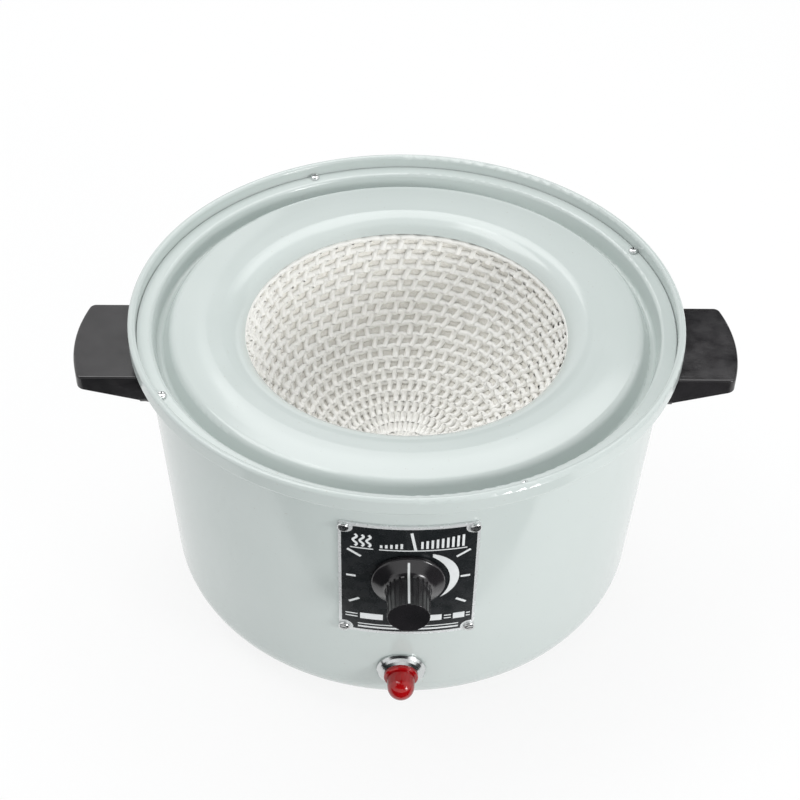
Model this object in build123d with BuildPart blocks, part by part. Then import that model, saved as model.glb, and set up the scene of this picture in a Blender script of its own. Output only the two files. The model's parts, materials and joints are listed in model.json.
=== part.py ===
from build123d import *
import os
from math import atan, cos, degrees, radians, sin, sqrt

# Laboratory heating mantle for a round flask: an enamelled pot, a lift-off cover with a
# gutter, a woven glass-fibre well, a power dial on the front wall and a signal lamp.
# Millimetres, +Z up. The origin is on the pot's axis at bench level. The dial faces -Y,
# the handles point along -X and +X, the cable enters at the back, +Y.

# ---------------------------------------------------------------- driving dimensions
# Pot
foot_height = 6.0
pot_height = 134.5
rim_step = 6.1
wall_taper = 7.9
corner_radius = 17.5
shell_sheet = 1.2
rim_upstand = 7.7
hem_width = 3.1
hem_lift = 0.4
step_bend = 0.6
rim_bend = 1.4

# Cover
cover_sheet = 1.0
flange_clearance = 0.3
flange_width = 6.0
gutter_width = 7.6
gutter_depth = 8.0
gutter_floor = 2.3
gutter_draft = 1.7
plateau_rise = 6.9
crown_rise = 1.2
lip_width = 10.1
lip_start_drop = 0.4
lip_turn = 58.0
opening_gap = 0.4
cover_bend = 1.5
shoulder_bend = 4.0
crown_bend = 60.0
cover_screw_azimuths = 25.0, 112.0, 208.0, 293.0

# Well
well_radius = 67.0
well_collar = 5.8
well_wall = 3.6
cord_depth = 1.5
cord_pitch = 5.2
insulation_wall = 9.5
insulation_gap = 1.9
pan_sheet = 1.0
pan_flange = 11.5
stud_length = 7.0
pan_land = 7.8
stud_land = 8.0
stud_count = 4
lead_spacing = 15.0

# Handles
handle_drop = 19.1
handle_length = 26.4
handle_crown = 4.0
handle_half_width = 24.4
handle_tip = 5.0
handle_root = 13.0
handle_corner = 3.0
handle_edge = 0.9
handle_collar = 3.0
handle_collar_lip = 0.8
handle_screw_spacing = 28.0
handle_screw_depth = 11.0

# Dial
plate_width = 54.0
plate_height = 64.8
plate_drop = 11.8
plate_sheet = 0.8
plate_corner = 1.5
plate_screw_inset = 2.3
mark_thickness = 0.15
knob_above_centre = 2.0
knob_length = 18.4
knob_skirt_radius = 14.3
knob_skirt_edge = 1.4
knob_skirt_height = 4.9
knob_shoulder = 0.5
knob_throat = 1.6
knob_grip_radius = 8.8
knob_nose_radius = 8.2
knob_nose_edge = 0.4
knob_end_wall = 3.0
shaft_radius = 3.0
pot_radius = 12.0
pot_depth = 13.0

# Signal lamp
lamp_height = 25.8
lamp_azimuth = -91.0
bezel_radius = 10.1
bezel_height = 3.3
lens_flange_radius = 7.0
lens_flange = 1.7
lens_radius = 5.7
lens_length = 11.1
lamp_thread_radius = 5.9
lamp_depth = 24.0

# Electrics
board_length = 72.0
board_width = 46.0
board_sheet = 1.6
board_corner = 2.0
board_centre_y = 34.0
standoff_height = 8.0
standoff_flats = 6.0
standoff_thread = 3.2
board_hole_inset = 4.5

# Feet
foot_inset = 27.0
foot_radius = 9.0
foot_taper = 1.0
foot_recess = 3.2
foot_count = 4

# Cable entry
gland_height = 24.0
gland_bore = 4.0
gland_reach = 23.4
gland_thread_radius = 7.6
gland_depth = 12.0
lock_height = 3.5

# Fasteners: screws of 4, 3, 2.5 and 2 mm
m4_radius = 2.0
m4_head_radius = 3.8
m4_head_height = 2.4
m4_nut_flats = 7.0
m4_nut_height = 3.2
m3_radius = 1.5
m3_head_radius = 2.7
m3_head_height = 1.8
cover_screw_radius = 1.2
cover_head_radius = 2.0
cover_head_height = 1.5
plate_screw_radius = 1.0
plate_head_radius = 2.2
plate_head_height = 1.3
plate_nut_flats = 4.0
plate_nut_height = 1.6
plate_screw_length = 6.5
thread_end = 1.5

# Fits
touch = 0.05
fit = 0.1
running_fit = 0.06
soft_gap = 0.3
head_gap = 0.6
tip_gap = 1.0

# ---------------------------------------------------------------- heights and helpers
shell_bottom = foot_height
shell_floor = shell_bottom + shell_sheet
rim_top = shell_bottom + pot_height
step_bottom = rim_top - rim_upstand
shelf_top = step_bottom + shell_sheet
hem_bend = hem_width / 2
hem_leg = rim_top - hem_bend - shelf_top - hem_lift
flange_top = shelf_top + touch + cover_sheet
gutter_z = flange_top - gutter_depth
plateau_z = gutter_z + plateau_rise
crown_z = plateau_z + crown_rise
lip_start_z = crown_z - lip_start_drop
opening_radius = well_radius + opening_gap
lip_start_radius = opening_radius + lip_width
basket_radius = well_radius + cord_depth + well_wall
pan_radius = basket_radius + insulation_wall + 2 * soft_gap
stud_ring_radius = pan_radius + pan_land
plateau_radius = stud_ring_radius + stud_land
crown_radius = (plateau_radius + lip_start_radius) / 2
gutter_radius = plateau_radius + gutter_width
flange_radius = gutter_radius + flange_width
rim_radius = flange_radius + flange_clearance + hem_width
wall_top_radius = rim_radius - rim_step
wall_bottom_radius = wall_top_radius - wall_taper
foot_ring_radius = wall_bottom_radius - foot_inset
handle_reach = wall_top_radius + handle_length
lip_slope = degrees(atan(lip_start_drop / (crown_radius - lip_start_radius)))
lip_bend = (lip_start_radius - opening_radius) / (
    sin(radians(lip_turn + lip_slope)) - sin(radians(lip_slope))
)
lip_end_z = lip_start_z - lip_bend * (
    cos(radians(lip_slope)) - cos(radians(lip_turn + lip_slope))
)
lip_lowest = lip_end_z - cover_sheet * cos(radians(lip_turn + lip_slope))
basket_top = lip_lowest - soft_gap
well_centre = basket_top - well_collar
wall_slope = (wall_top_radius - wall_bottom_radius) / (step_bottom - shell_bottom)
wall_tilt = degrees(atan(wall_slope))

FRONT, RIGHT, BACK, LEFT = -90.0, 0.0, 90.0, 180.0
BOTTOM_UP = (Align.CENTER, Align.CENTER, Align.MIN)
TOP_DOWN = (Align.CENTER, Align.CENTER, Align.MAX)


def wall_radius(z):
    """Outer radius of the pot's wall at height z."""
    return wall_bottom_radius + wall_slope * (z - shell_bottom)


def sagitta(half_chord, z):
    """How far the inside of the wall falls back over half a chord at height z."""
    inner = wall_radius(z) - shell_sheet
    return inner - sqrt(inner**2 - half_chord**2)


def wall_plane(azimuth, z):
    """Plane touching the wall's outside at height z: x to the right, z outwards."""
    a, t = radians(azimuth), radians(wall_tilt)
    r = wall_radius(z)
    outwards = (cos(a) * cos(t), sin(a) * cos(t), -sin(t))
    return Plane(origin=(r * cos(a), r * sin(a), z), x_dir=(-sin(a), cos(a), 0), z_dir=outwards)


def section_plane(seat):
    """Plane through the axis of seat: x is the radius, y runs along the axis."""
    return Plane(origin=seat.origin, x_dir=seat.y_dir, z_dir=seat.x_dir)


def turned(seat, points):
    """Solid turned about the axis of seat from an outline of (radius, height)."""
    with BuildPart() as piece:
        with BuildSketch(section_plane(seat)):
            with BuildLine():
                Polyline(*points, close=True)
            make_face()
        revolve(axis=Axis(seat.origin, seat.z_dir))
    return piece.part


def ring(seat, outer, inner, low, high):
    """Plain ring about the axis of seat between two heights."""
    return turned(seat, [(inner, low), (outer, low), (outer, high), (inner, high)])


def hex_nut(across_flats, height, bore_radius):
    """Hexagonal nut standing on the XY plane."""
    with BuildPart() as nut:
        with BuildSketch():
            RegularPolygon(across_flats / 2, 6, major_radius=False)
            Circle(bore_radius, mode=Mode.SUBTRACT)
        extrude(amount=height)
    return nut.part


def pan_screw(head_radius, head_height, shank_radius, length, cross=True):
    """Screw with a domed head on the XY plane and its shank below it."""
    slot_width = 0.3 * head_radius
    slot_depth = 0.45 * head_height
    with BuildPart() as screw:
        Cylinder(head_radius, head_height, align=BOTTOM_UP)
        fillet(screw.edges().group_by(Axis.Z)[-1], 0.62 * head_height)
        with Locations((0, 0, head_height - slot_depth)):
            Box(1.3 * head_radius, slot_width, head_height, align=BOTTOM_UP, mode=Mode.SUBTRACT)
            if cross:
                Box(slot_width, 1.3 * head_radius, head_height, align=BOTTOM_UP, mode=Mode.SUBTRACT)
        Cylinder(shank_radius, length, align=TOP_DOWN)
    return screw.part


def lead(points, bends, radius):
    """Round insulated lead along straight runs joined by arcs."""
    with BuildPart() as wire:
        with BuildLine() as route:
            FilletPolyline(*points, radius=bends)
        with BuildSketch(Plane(origin=route.line @ 0, z_dir=route.line % 0)):
            Circle(radius)
        sweep()
    return wire.part


def keep(builder, name):
    """Label a finished piece and write it."""
    builder.part.label = name
    export_step(builder.part, f"parts/{name}.step")


os.makedirs("parts", exist_ok=True)

# ---------------------------------------------------------------- seats of the fittings
plate_z = step_bottom - plate_drop - plate_height / 2
knob_z = plate_z + knob_above_centre
lamp_z = shell_bottom + lamp_height
gland_z = shell_bottom + gland_height
dial_seat = wall_plane(FRONT, knob_z)
knob_seat = dial_seat.offset(touch + plate_sheet + soft_gap)
lamp_seat = wall_plane(lamp_azimuth, lamp_z)
gland_seat = wall_plane(BACK, gland_z)

bush_radius = 3.6
bush_length = 6.6
pot_tag_pitch, pot_tag_back = 6.0, 3.0
pot_tag_root, pot_tag_length, pot_tag_width, pot_tag_sheet = 2.0, 9.0, 2.4, 0.8
pot_nut_flats = 10.0
pot_nut_height = 2.2
pot_washer_radius = 6.4
pot_washer_sheet = 0.6
knob_cavity_radius = 7.4
knob_cavity_depth = 4.4

plate_screw_x = plate_width / 2 - plate_screw_inset
plate_screw_z = plate_height / 2 - plate_screw_inset
plate_screws = [
    (side * plate_screw_x, plate_z + level * plate_screw_z) for side in (-1, 1) for level in (-1, 1)
]

cover_screw_ring_radius = rim_radius - hem_width - cover_head_radius - fit
cover_screw_places = [
    (cover_screw_ring_radius * cos(radians(a)), cover_screw_ring_radius * sin(radians(a)))
    for a in cover_screw_azimuths
]
handle_top = rim_top - handle_drop
handle_screw_z = handle_top - handle_root / 2

board_holes_x = board_length - 2 * board_hole_inset
board_holes_y = board_width - 2 * board_hole_inset

lamp_hole_radius = lamp_thread_radius + fit
gland_hole_radius = gland_thread_radius + fit
vent_radius = 3.0
vent_ring_radius = 42.0
vent_count = 16
earth_x, earth_y = 41.0 - wall_bottom_radius, 18.0
block_x, block_y = wall_bottom_radius - 39.0, 20.0
block_length, block_width, block_height = 30.0, 16.0, 12.0
block_hole_spacing = 20.0


def side_screws(azimuth):
    """Seats of one handle's two screws, square to the pot's axis."""
    a = radians(azimuth)
    out, across = Vector(cos(a), sin(a), 0), Vector(-sin(a), cos(a), 0)
    base = out * wall_radius(handle_screw_z) + Vector(0, 0, handle_screw_z)
    half = handle_screw_spacing / 2
    return [Plane(origin=base + across * s * half, x_dir=across, z_dir=out) for s in (-1, 1)]


def plate_screw_seats():
    """Seats of the dial plate's screws, each square to the wall where it stands."""
    seats = []
    for x, z in plate_screws:
        turn = degrees(atan(x / sqrt(wall_radius(z) ** 2 - x**2)))
        seats.append(wall_plane(FRONT + turn, z))
    return seats


# ---------------------------------------------------------------- outer shell
with BuildPart() as outer_shell:
    with BuildSketch(Plane.XZ):
        with BuildLine():
            wall_path = FilletPolyline(
                (0, shell_bottom),
                (wall_bottom_radius, shell_bottom),
                (wall_top_radius, step_bottom),
                (rim_radius, step_bottom),
                (rim_radius, rim_top - hem_bend),
                radius=[corner_radius, step_bend, rim_bend],
            )
            ThreePointArc(
                wall_path @ 1,
                (rim_radius - hem_bend, rim_top),
                (rim_radius - hem_width, rim_top - hem_bend),
            )
            offset(amount=shell_sheet, side=Side.RIGHT)
        make_face()
        with Locations((rim_radius - hem_width, rim_top - hem_bend)):
            Rectangle(shell_sheet, hem_leg, align=(Align.MIN, Align.MAX))
    revolve(axis=Axis.Z)
    with Locations(dial_seat):
        Hole(bush_radius + fit, depth=2 * shell_sheet)
    with Locations(lamp_seat):
        Hole(lamp_hole_radius, depth=3 * shell_sheet)
    with Locations(gland_seat):
        Hole(gland_hole_radius, depth=3 * shell_sheet)
    with Locations(*plate_screw_seats()):
        Hole(plate_screw_radius + fit, depth=2 * shell_sheet)
    with Locations(*side_screws(LEFT), *side_screws(RIGHT)):
        Hole(m4_radius + fit, depth=4 * shell_sheet)
    with Locations(Plane.XY.offset(shelf_top)):
        with Locations(*cover_screw_places):
            Hole(cover_screw_radius + fit, depth=shell_sheet + touch)
    with Locations(Plane.XY.offset(shell_floor)):
        with PolarLocations(foot_ring_radius, foot_count, 180 / foot_count):
            Hole(m4_radius + fit, depth=2 * shell_sheet)
        with PolarLocations(vent_ring_radius, vent_count, 180 / vent_count):
            Hole(vent_radius, depth=2 * shell_sheet)
        with Locations((0, board_centre_y)):
            with GridLocations(board_holes_x, board_holes_y, 2, 2):
                Hole(m3_radius + fit, depth=2 * shell_sheet)
        with Locations((earth_x, earth_y)):
            Hole(m4_radius + fit, depth=2 * shell_sheet)
        with Locations((block_x, block_y)):
            with GridLocations(1, block_hole_spacing, 1, 2):
                Hole(m3_radius + fit, depth=2 * shell_sheet)
keep(outer_shell, "outer_shell")

# ---------------------------------------------------------------- top cover
with BuildPart() as top_cover:
    with BuildSketch(Plane.XZ):
        with BuildLine():
            cover_path = FilletPolyline(
                (flange_radius, flange_top),
                (gutter_radius, flange_top),
                (gutter_radius - gutter_draft, gutter_z),
                (gutter_radius - gutter_draft - gutter_floor, gutter_z),
                (plateau_radius, plateau_z),
                (crown_radius, crown_z),
                (lip_start_radius, lip_start_z),
                radius=[cover_bend, cover_bend, cover_bend, shoulder_bend, crown_bend],
            )
            JernArc(
                start=cover_path @ 1,
                tangent=cover_path % 1,
                radius=lip_bend,
                arc_size=lip_turn,
            )
            offset(amount=cover_sheet, side=Side.LEFT)
        make_face()
    revolve(axis=Axis.Z)
    with Locations(Plane.XY.offset(flange_top)):
        with Locations(*cover_screw_places):
            Hole(cover_screw_radius + fit, depth=2 * cover_sheet)
    with BuildSketch(Plane.XY.offset(crown_z - cover_sheet - stud_length)):
        with PolarLocations(stud_ring_radius, stud_count):
            Circle(m4_radius)
    extrude(amount=stud_length + cover_sheet / 4)
keep(top_cover, "top_cover")

cover_screw = pan_screw(
    cover_head_radius, cover_head_height, cover_screw_radius, cover_sheet + shell_sheet
)
with BuildPart() as cover_screws:
    with Locations(Plane.XY.offset(flange_top + touch)):
        with Locations(*cover_screw_places):
            add(cover_screw)
keep(cover_screws, "cover_screws")

# ---------------------------------------------------------------- well
well_length = well_collar + well_radius * radians(90)
cord_rows = round(well_length / cord_pitch)
row_length = well_length / cord_rows


def well_point(length, depth):
    """(radius, z) at a length down the well from its top edge and a depth behind its crests."""
    if length < well_collar:
        return well_radius + depth, basket_top - length
    angle = (length - well_collar) / well_radius
    r = well_radius + depth
    return r * cos(angle), well_centre - r * sin(angle)


def bowl(inner, outer, top):
    """Round-bottomed bowl between two radii with a straight collar up to top."""
    low_inner, low_outer = well_centre - inner, well_centre - outer
    slant = sqrt(0.5)
    with BuildPart() as piece:
        with BuildSketch(Plane.XZ):
            with BuildLine():
                ThreePointArc(
                    (0, low_outer),
                    (outer * slant, well_centre - outer * slant),
                    (outer, well_centre),
                )
                Polyline((outer, well_centre), (outer, top), (inner, top), (inner, well_centre))
                ThreePointArc(
                    (inner, well_centre),
                    (inner * slant, well_centre - inner * slant),
                    (0, low_inner),
                )
                Line((0, low_inner), (0, low_outer))
            make_face()
        revolve(axis=Axis.Z)
    return piece.part


ridge = [well_point(0, cord_depth)]
for row in range(cord_rows):
    ridge.append(well_point((row + 0.5) * row_length, 0))
    if row < cord_rows - 1:
        ridge.append(well_point((row + 1) * row_length, cord_depth))
ridge.append((0, well_centre - well_radius))

with BuildPart() as heating_basket:
    with BuildSketch(Plane.XZ):
        with BuildLine():
            Polyline(*ridge)
            Line(ridge[-1], (0, well_centre - basket_radius))
            ThreePointArc(
                (0, well_centre - basket_radius),
                (basket_radius * sqrt(0.5), well_centre - basket_radius * sqrt(0.5)),
                (basket_radius, well_centre),
            )
            Polyline((basket_radius, well_centre), (basket_radius, basket_top), ridge[0])
        make_face()
    revolve(axis=Axis.Z)
keep(heating_basket, "heating_basket")

lead_radius = 1.4
bush_outer = 3.0
insulation_inner = basket_radius + soft_gap
insulation_outer = insulation_inner + insulation_wall
insulation_top = lip_start_z - cover_sheet - insulation_gap
lead_seats = [(side * lead_spacing / 2, 0) for side in (-1, 1)]
lead_rise = well_centre - sqrt(basket_radius**2 - (lead_spacing / 2 - lead_radius) ** 2)

with BuildPart() as insulation_bowl:
    add(bowl(insulation_inner, insulation_outer, insulation_top))
    with Locations((0, 0, well_centre - pan_radius)):
        with Locations(*lead_seats):
            Hole(bush_outer + fit, depth=3 * insulation_wall)
            Cylinder(
                bush_outer + fit, 2 * insulation_wall, align=BOTTOM_UP, mode=Mode.SUBTRACT
            )
keep(insulation_bowl, "insulation_bowl")

pan_top = plateau_z - cover_sheet - touch
with BuildPart() as inner_pan:
    add(bowl(pan_radius, pan_radius + pan_sheet, pan_top - pan_sheet / 2))
    with BuildSketch(Plane.XY.offset(pan_top - pan_sheet)):
        Circle(pan_radius + pan_flange)
        Circle(pan_radius, mode=Mode.SUBTRACT)
        with PolarLocations(stud_ring_radius, stud_count):
            Circle(m4_radius + fit, mode=Mode.SUBTRACT)
    extrude(amount=pan_sheet)
    with Locations((0, 0, well_centre - pan_radius - 3 * pan_sheet)):
        with Locations(*lead_seats):
            Cylinder(bush_outer + fit, 6 * pan_sheet, align=BOTTOM_UP, mode=Mode.SUBTRACT)
keep(inner_pan, "inner_pan")

m4_nut = hex_nut(m4_nut_flats, m4_nut_height, m4_radius + touch)
with BuildPart() as pan_nuts:
    with Locations(Plane.XY.offset(pan_top - pan_sheet - m4_nut_height - touch)):
        with PolarLocations(stud_ring_radius, stud_count):
            add(m4_nut)
keep(pan_nuts, "pan_nuts")

bush_low = well_centre - pan_radius - 3 * pan_sheet
bush_high = well_centre - sqrt(basket_radius**2 - (lead_spacing / 2 - bush_outer) ** 2) - fit
with BuildPart() as lead_bushes:
    with BuildSketch(Plane.XY.offset(bush_low)):
        with Locations(*lead_seats):
            Circle(bush_outer)
            Circle(lead_radius + fit, mode=Mode.SUBTRACT)
    extrude(amount=bush_high - bush_low)
keep(lead_bushes, "lead_bushes")

# ---------------------------------------------------------------- handles
handle_low = handle_top - handle_root
handle_inner = wall_bottom_radius - corner_radius
handle_screw_sag = sagitta(handle_screw_spacing / 2 + m4_head_radius, handle_screw_z)


def moulded_ear(azimuth):
    """Solid ear: flat top, underside rising to a thin tip, root shaped to the wall."""
    side = cos(radians(azimuth))
    tip = handle_reach + handle_crown
    slope = (handle_root - handle_tip) / (tip - wall_radius(handle_low))
    inner_low = handle_low - slope * (wall_radius(handle_low) - handle_inner)
    with BuildPart() as ear:
        with BuildSketch(Plane.XZ):
            with BuildLine():
                Polyline(
                    (handle_inner, handle_top),
                    (tip, handle_top),
                    (tip, handle_top - handle_tip),
                    (handle_inner, inner_low),
                    close=True,
                )
            make_face()
        extrude(amount=handle_half_width, both=True)
        with BuildSketch(Plane.XY) as plan:
            with BuildLine():
                Polyline(
                    (handle_reach, -handle_half_width),
                    (handle_inner, -handle_half_width),
                    (handle_inner, handle_half_width),
                    (handle_reach, handle_half_width),
                )
                ThreePointArc(
                    (handle_reach, handle_half_width),
                    (tip, 0),
                    (handle_reach, -handle_half_width),
                )
            make_face()
            fillet(plan.vertices().group_by(Axis.X)[-1], handle_corner)
        extrude(amount=rim_top, mode=Mode.INTERSECT)
        fillet(ear.faces().sort_by(Axis.Z)[-1].edges().filter_by(
            lambda e: e.center().X > handle_inner + 1), handle_edge)
        collar_x = wall_radius(handle_low) + handle_collar
        with BuildSketch(Plane.YZ.offset(handle_inner)):
            with Locations((0, (handle_top + handle_low) / 2)):
                RectangleRounded(
                    2 * (handle_half_width + handle_collar_lip),
                    handle_root + 2 * handle_collar_lip,
                    handle_collar,
                )
        extrude(amount=collar_x - handle_inner)
        with BuildSketch(Plane.XZ):
            with BuildLine():
                Polyline(
                    (0, shell_bottom),
                    (wall_bottom_radius + fit, shell_bottom),
                    (wall_top_radius + fit, step_bottom),
                    (0, step_bottom),
                    close=True,
                )
            make_face()
        revolve(axis=Axis.Z, mode=Mode.SUBTRACT)
        with Locations(*side_screws(RIGHT)):
            Cylinder(
                m4_radius + touch, handle_screw_depth, align=BOTTOM_UP, mode=Mode.SUBTRACT
            )
            Cylinder(
                m4_radius + touch, handle_screw_depth, align=TOP_DOWN, mode=Mode.SUBTRACT
            )
    return ear.part if side > 0 else ear.part.mirror(Plane.YZ)


handle_screw_shank = handle_screw_depth - tip_gap + shell_sheet + handle_screw_sag + touch
handle_screw = pan_screw(m4_head_radius, m4_head_height, m4_radius, handle_screw_shank)

for azimuth, side_name in ((LEFT, "left"), (RIGHT, "right")):
    with BuildPart() as handle:
        add(moulded_ear(azimuth))
    keep(handle, f"{side_name}_handle")

    with BuildPart() as handle_screws:
        for seat in side_screws(azimuth):
            inside = Plane(
                origin=seat.origin - seat.z_dir * (shell_sheet + handle_screw_sag + touch),
                x_dir=seat.x_dir,
                z_dir=-seat.z_dir,
            )
            with Locations(inside):
                add(handle_screw)
    keep(handle_screws, f"{side_name}_handle_screws")

# ---------------------------------------------------------------- dial plate
plate_low, plate_high = plate_z - plate_height / 2, plate_z + plate_height / 2


def wall_layer(low, high, inner, outer):
    """Thin band standing off the wall between two heights."""
    with BuildPart() as band:
        with BuildSketch(Plane.XZ):
            with BuildLine():
                Polyline(
                    (wall_radius(low) + inner, low),
                    (wall_radius(low) + outer, low),
                    (wall_radius(high) + outer, high),
                    (wall_radius(high) + inner, high),
                    close=True,
                )
            make_face()
        revolve(axis=Axis.Z)
    return band.part


with BuildPart() as dial_plate:
    add(wall_layer(plate_low - 1, plate_high + 1, touch, touch + plate_sheet))
    with BuildSketch(Plane.XZ):
        with Locations((0, plate_z)):
            RectangleRounded(plate_width, plate_height, plate_corner)
    extrude(amount=2 * rim_radius, mode=Mode.INTERSECT)
    with Locations(*[seat.offset(2 * plate_sheet) for seat in plate_screw_seats()]):
        Hole(plate_screw_radius + fit, depth=4 * plate_sheet)
    with Locations(dial_seat.offset(2 * plate_sheet)):
        Hole(bush_radius + fit, depth=5 * plate_sheet)
keep(dial_plate, "dial_plate")

plate_screw = pan_screw(
    plate_head_radius, plate_head_height, plate_screw_radius, plate_screw_length, cross=False
)
plate_nut = hex_nut(plate_nut_flats, plate_nut_height, plate_screw_radius + touch)
plate_nut_seat = shell_sheet + plate_nut_height + fit
with BuildPart() as dial_screws:
    with Locations(*[seat.offset(touch + plate_sheet + fit) for seat in plate_screw_seats()]):
        add(plate_screw)
keep(dial_screws, "dial_screws")

with BuildPart() as dial_nuts:
    with Locations(*[seat.offset(-plate_nut_seat) for seat in plate_screw_seats()]):
        add(plate_nut)
keep(dial_nuts, "dial_nuts")

# Marks: six radial ticks and one at the top, a crescent that grows as the power does,
# and three blank fields below. Their places are measured from the knob's axis.
tick_width = 1.0
ticks = [(56.5, 22.0, 28.2), (90.0, 20.3, 24.0), (125.0, 23.2, 28.0)]
top_tick_width, top_tick_length = 1.1, 10.2
top_tick_at, top_tick_lean = (1.7, 22.1), 9.5
crescent_outer, crescent_outer_at = 14.15, (5.55, 1.0)
crescent_inner, crescent_inner_at = 17.05, (-0.85, -0.8)
crescent_start = 9.2
field_height, field_drop = 3.4, -24.2
fields = [(-18.6, -9.6), (9.0, 13.7), (18.2, 22.8)]

with BuildPart() as dial_marks:
    marks_low = touch + plate_sheet + touch / 2
    add(wall_layer(plate_low, plate_high, marks_low, marks_low + mark_thickness))
    with BuildSketch(Plane.XZ):
        for angle, low, high in ticks:
            for side in (-1, 1):
                reach = (low + high) / 2
                turn = radians(side * angle)
                with Locations((reach * sin(turn), knob_z + reach * cos(turn))):
                    Rectangle(tick_width, high - low, rotation=-side * angle)
        with BuildSketch(mode=Mode.PRIVATE) as crescent:
            with Locations(crescent_outer_at):
                Circle(crescent_outer)
            with Locations(crescent_inner_at):
                Circle(crescent_inner, mode=Mode.SUBTRACT)
            with Locations((crescent_start, plate_height / 2)):
                Rectangle(plate_width, plate_height, align=(Align.MAX, Align.CENTER), mode=Mode.SUBTRACT)
        with Locations((0, knob_z)):
            add(crescent.sketch)
            with Locations(top_tick_at):
                Rectangle(top_tick_width, top_tick_length, rotation=top_tick_lean)
        for start, end in fields:
            with Locations(((start + end) / 2, knob_z + field_drop)):
                Rectangle(end - start, field_height)
    extrude(amount=2 * rim_radius, mode=Mode.INTERSECT)
keep(dial_marks, "dial_marks")

# ---------------------------------------------------------------- knob and control
def towards(start, end, distance):
    """Point at a distance from start on the line to end."""
    along = Vector(*end) - Vector(*start)
    point = Vector(*start) + along.normalized() * distance
    return point.X, point.Y


def eased(before, corner, after, size):
    """Points of a soft bend that replaces a corner of an outline, size long on each side."""
    start, end = towards(corner, before, size), towards(corner, after, size)
    steps = [step / EASE_STEPS for step in range(EASE_STEPS + 1)]
    return [
        tuple((1 - t) ** 2 * a + 2 * t * (1 - t) * b + t**2 * c for a, b, c in zip(start, corner, end))
        for t in steps
    ]


EASE_STEPS = 5
skirt_foot = (knob_skirt_radius, 0)
skirt_corner = (knob_skirt_radius, knob_skirt_edge)
grip_corner = (knob_grip_radius, knob_skirt_height)
nose_corner = (knob_nose_radius, knob_length)
nose_centre = (0, knob_length)
throat = eased(skirt_corner, grip_corner, nose_corner, knob_throat)
knob_bore = shaft_radius + touch / 2
knob_bore_depth = knob_length - knob_end_wall
grip_lean = degrees(atan((knob_grip_radius - knob_nose_radius) / (knob_length - knob_skirt_height)))
flute_count, flute_radius, flute_offset, flute_foot = 24, 0.5, 0.15, 0.4
pointer_width, pointer_depth, pointer_start = 1.0, 0.35, 1.6
set_screw_radius, set_screw_length, set_screw_height = 1.5, 4.5, 9.5
set_screw_slot_width, set_screw_slot_depth = 0.5, 1.2

# The knob's pieces are made about the Z axis and then placed on its seat.
set_screw_line = Plane(origin=(0, 0, set_screw_height), x_dir=(1, 0, 0), z_dir=(0, -1, 0))


def pointer_strip(low, high, inner, outer, width):
    """Strip along the skirt's cone and the grip, from inner to outer of their surface."""
    run = [towards(skirt_corner, grip_corner, low), *throat, towards(nose_corner, grip_corner, high)]
    with BuildPart() as strip:
        with BuildSketch(section_plane(Plane.XY)):
            with BuildLine():
                Polyline(
                    *[(r + outer, h + outer) for r, h in run],
                    *[(r + inner, h + inner) for r, h in reversed(run)],
                    close=True,
                )
            make_face()
        extrude(amount=width / 2, both=True)
    return strip.part


with BuildPart() as control_knob:
    with BuildPart(mode=Mode.PRIVATE) as knob_form:
        add(turned(Plane.XY, [
            (0, 0),
            skirt_foot,
            *eased(skirt_foot, skirt_corner, grip_corner, knob_shoulder),
            *throat,
            *eased(grip_corner, nose_corner, nose_centre, knob_nose_edge),
            nose_centre,
        ]))
        with PolarLocations(knob_grip_radius + flute_offset, flute_count, 180 / flute_count):
            with Locations(Location((0, 0, knob_skirt_height + flute_foot), (0, -grip_lean, 0))):
                Cylinder(flute_radius, knob_length, align=BOTTOM_UP, mode=Mode.SUBTRACT)
        Cylinder(knob_cavity_radius, knob_cavity_depth, align=BOTTOM_UP, mode=Mode.SUBTRACT)
        Cylinder(knob_bore, knob_bore_depth, align=BOTTOM_UP, mode=Mode.SUBTRACT)
        add(
            pointer_strip(
                pointer_start - touch, knob_nose_edge, -pointer_depth, pointer_depth, pointer_width
            ),
            mode=Mode.SUBTRACT,
        )
        with Locations(set_screw_line):
            Cylinder(
                set_screw_radius + touch, 2 * knob_grip_radius, align=BOTTOM_UP, mode=Mode.SUBTRACT
            )
    with Locations(knob_seat):
        add(knob_form.part)
keep(control_knob, "control_knob")

with BuildPart() as knob_pointer:
    with Locations(knob_seat):
        add(
            pointer_strip(
                pointer_start,
                knob_nose_edge + touch,
                touch - pointer_depth,
                0,
                pointer_width - 2 * touch,
            )
        )
keep(knob_pointer, "knob_pointer")

with BuildPart() as knob_set_screw:
    with BuildPart(mode=Mode.PRIVATE) as screw_form:
        with Locations(set_screw_line.offset(shaft_radius + touch / 2)):
            Cylinder(set_screw_radius, set_screw_length, align=BOTTOM_UP)
            with Locations((0, 0, set_screw_length)):
                Box(
                    2 * set_screw_radius,
                    set_screw_slot_width,
                    set_screw_slot_depth,
                    align=TOP_DOWN,
                    mode=Mode.SUBTRACT,
                )
    with Locations(knob_seat):
        add(screw_form.part)
keep(knob_set_screw, "knob_set_screw")

pot_front = -(shell_sheet + sagitta(pot_radius, knob_z) + touch)
shaft_depth = 8.0
with BuildPart() as control_shaft:
    with Locations(dial_seat):
        with Locations((0, 0, pot_front - shaft_depth)):
            Cylinder(
                shaft_radius,
                shaft_depth - pot_front + touch + plate_sheet + soft_gap + knob_bore_depth - fit,
                align=BOTTOM_UP,
            )
keep(control_shaft, "control_shaft")

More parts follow.
